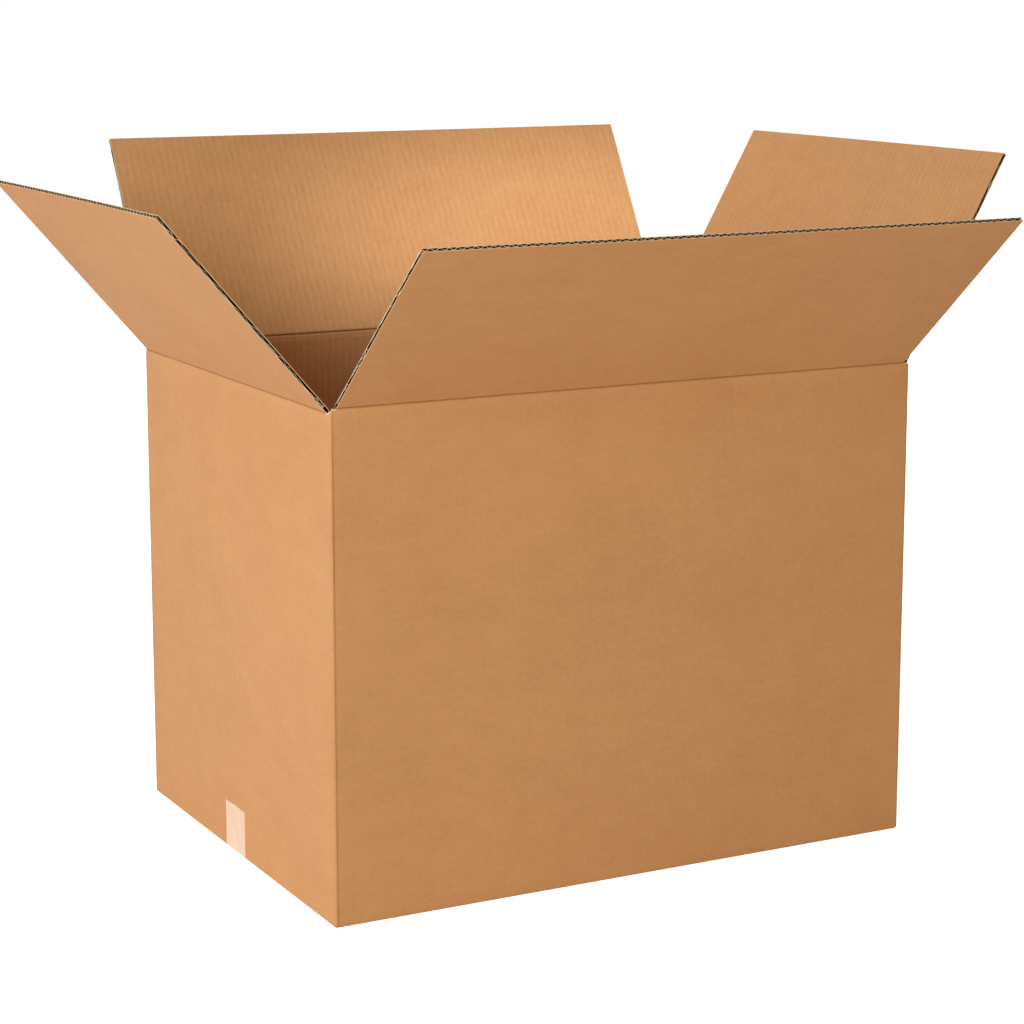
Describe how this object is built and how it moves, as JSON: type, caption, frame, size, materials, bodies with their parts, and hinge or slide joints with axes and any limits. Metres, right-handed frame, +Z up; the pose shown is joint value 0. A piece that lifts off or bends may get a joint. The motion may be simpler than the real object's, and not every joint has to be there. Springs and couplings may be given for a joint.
{
  "type": "open cardboard box",
  "caption": "Plain kraft corrugated shipping box, open at the top, with its top flaps spread on hinged creases and its bottom folded shut and taped.",
  "frame": {"origin": "centre of the box's footprint, on the surface that it stands on, at the underside of the bottom tape", "axes": "+Z up; X along the long walls, with the taped end wall that the picture shows facing -X; the front wall faces -Y"},
  "size_m": [0.8849, 0.7557, 0.6773],
  "materials": {
    "board": "matte",
    "flap_board": "matte",
    "tape": "satin"
  },
  "bodies": {
    "box": {"box_body": "board", "bottom_tape": "tape"},
    "front_flap": {"front_flap": "flap_board"},
    "back_flap": {"back_flap": "flap_board"},
    "left_flap": {"left_flap": "flap_board"},
    "right_flap": {"right_flap": "flap_board"}
  },
  "joints": [
    {"name": "front_crease", "type": "hinge", "parent": "box", "child": "front_flap", "pos_m": [0, -0.2326, 0.4739], "axis": [-1, 0, 0], "range_deg": [-126, 139]},
    {"name": "back_crease", "type": "hinge", "parent": "box", "child": "back_flap", "pos_m": [0, 0.2326, 0.4739], "axis": [1, 0, 0], "range_deg": [-145.2, 119.8]},
    {"name": "left_crease", "type": "hinge", "parent": "box", "child": "left_flap", "pos_m": [-0.3088, 0, 0.4696], "axis": [0, 1, 0], "range_deg": [-134, 131]},
    {"name": "right_crease", "type": "hinge", "parent": "box", "child": "right_flap", "pos_m": [0.3088, 0, 0.4696], "axis": [0, -1, 0], "range_deg": [-145.3, 119.7]}
  ]
}
